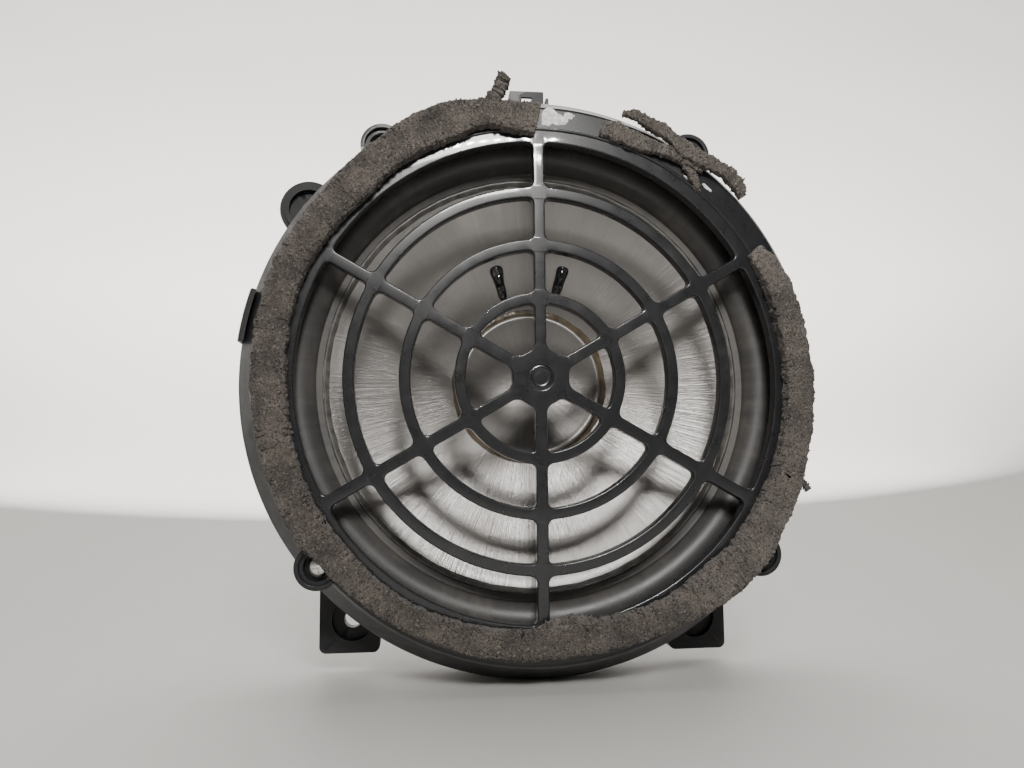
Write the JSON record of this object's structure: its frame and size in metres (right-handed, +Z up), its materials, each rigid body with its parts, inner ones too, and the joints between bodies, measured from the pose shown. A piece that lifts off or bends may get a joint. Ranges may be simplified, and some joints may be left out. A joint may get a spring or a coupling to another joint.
{
  "type": "car door woofer",
  "caption": "Round car door woofer with a moulded spoked grille, a worn foam seal, three mounting lugs and a cone that travels on a sprung slide.",
  "frame": {"origin": "on the speaker's axis, in the plane of the mounting flange's rear face, which bears on the door", "axes": "-Y is the front, where the sound comes out, +Y points back to the magnet, +X is to the right seen from the front and +Z is up"},
  "size_m": [0.2141, 0.0955, 0.2238],
  "materials": {
    "grille_plastic": "satin moulded black",
    "basket_plastic": "satin, glass-filled",
    "clip_plastic": "satin",
    "socket_plastic": "satin",
    "foam": "open-cell foam, matte and dusty",
    "screw_steel": "zinc plated",
    "contact_brass": "tinned brass",
    "solder": "bright solder",
    "surround_rubber": "satin rubber with dust",
    "surround_glue": "aged clear glue",
    "cone_polypropylene": "silver-grey, fine radial streaks",
    "dust_cap_plastic": "silver-grey, satin",
    "clear_glue": "aged clear glue",
    "black_glue": "glossy black",
    "tinsel_braid": "braided copper",
    "former_paper": "treated paper",
    "coil_copper": "enamelled winding",
    "spider_cloth": "resin-dipped cloth",
    "plate_steel": "zinc passivated",
    "ferrite": "matte ferrite"
  },
  "bodies": {
    "frame": {"front_grille": "grille_plastic", "foam_gasket": "foam", "foam_torn_strip": "foam", "ear_screws": "screw_steel", "side_clip": "clip_plastic", "basket": "basket_plastic", "connector_socket": "socket_plastic", "contact_blades": "contact_brass", "solder_joints": "solder", "surround": "surround_rubber", "spider": "spider_cloth", "tinsel_lead_left": "tinsel_braid", "tinsel_lead_right": "tinsel_braid", "top_plate": "plate_steel", "plate_rivets": "plate_steel", "magnet": "ferrite", "back_yoke": "plate_steel"},
    "moving_cone": {"cone": "cone_polypropylene", "surround_glue": "surround_glue", "dust_cap": "dust_cap_plastic", "dust_cap_glue": "clear_glue", "lead_glue_left": "black_glue", "lead_glue_right": "black_glue", "neck_glue": "clear_glue", "coil_former": "former_paper", "voice_coil": "coil_copper"}
  },
  "joints": [
    {"name": "cone_travel", "type": "slide", "parent": "frame", "child": "moving_cone", "axis": [0, -1, 0], "range_m": [-0.006, 0.006], "stiffness_N_per_m": 1500, "deforming": ["surround", "spider", "tinsel_lead_left", "tinsel_lead_right"]}
  ]
}
